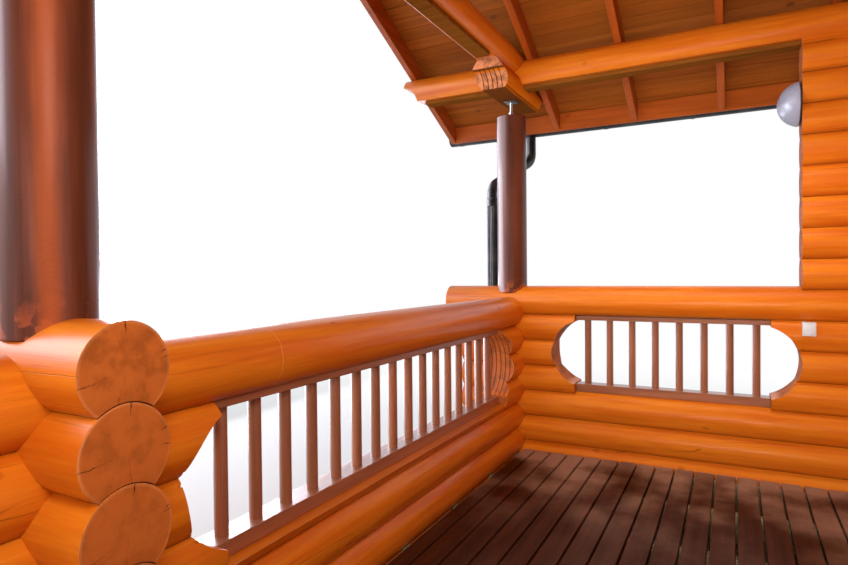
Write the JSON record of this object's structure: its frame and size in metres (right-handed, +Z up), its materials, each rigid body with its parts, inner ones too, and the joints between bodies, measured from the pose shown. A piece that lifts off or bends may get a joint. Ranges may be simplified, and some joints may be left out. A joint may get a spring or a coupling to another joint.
{
  "type": "log cabin veranda",
  "caption": "Covered end veranda of a log cabin, with scribed round-log walls, rails with balusters, posts on screw jacks and a pitched roof.",
  "frame": {"origin": "on the ground under the middle post of the front wall", "axes": "+X from the open front towards the cabin, +Y to the left seen from the front, +Z up"},
  "size_m": [3.17, 7.8506, 4.6544],
  "materials": {
    "log_wood": "honey-orange glaze over planed round logs",
    "post_wood": "dark red-brown varnish",
    "plank_wood": "brown stain",
    "rafter_wood": "orange glaze on sawn timber",
    "roof_wood": "dark brown stain on tongued boards",
    "deck_wood": "worn red-brown oil",
    "roofing_felt": "mineral felt",
    "black_metal": "black coating",
    "zinc_steel": "zinc plated",
    "lamp_cover": "opal",
    "lamp_body": "satin",
    "socket_plastic": "satin"
  },
  "bodies": {
    "root": {"barge_rafters": "rafter_wood", "beam_planks": "plank_wood", "bolsters": "log_wood", "cabin_gable_even_logs": "log_wood", "cabin_gable_odd_logs": "log_wood", "cabin_wall_even_logs": "log_wood", "cabin_wall_odd_logs": "log_wood", "deck": "deck_wood", "deck_joists": "deck_wood", "door_frame": "plank_wood", "downpipes": "black_metal", "fascias": "rafter_wood", "front_left_balustrade": "plank_wood", "front_right_balustrade": "plank_wood", "front_wall_even_logs": "log_wood", "front_wall_odd_logs": "log_wood", "gutters": "black_metal", "king_post": "post_wood", "lamp_base": "lamp_body", "lamp_glass": "lamp_cover", "left_balustrade": "plank_wood", "left_post": "post_wood", "left_purlin": "log_wood", "left_rafters": "rafter_wood", "left_roof_boards": "roof_wood", "left_roofing": "roofing_felt", "left_wall_even_logs": "log_wood", "left_wall_odd_logs": "log_wood", "middle_pillar_even_logs": "log_wood", "middle_pillar_odd_logs": "log_wood", "middle_post": "post_wood", "pipe_clips": "black_metal", "ridge_cap": "roofing_felt", "ridge_log": "log_wood", "right_balustrade": "plank_wood", "right_post": "post_wood", "right_purlin": "log_wood", "right_rafters": "rafter_wood", "right_roof_boards": "roof_wood", "right_roofing": "roofing_felt", "right_wall_even_logs": "log_wood", "right_wall_odd_logs": "log_wood", "screw_jacks": "zinc_steel", "socket_box": "socket_plastic", "tie_beam": "log_wood"}
  },
  "joints": []
}
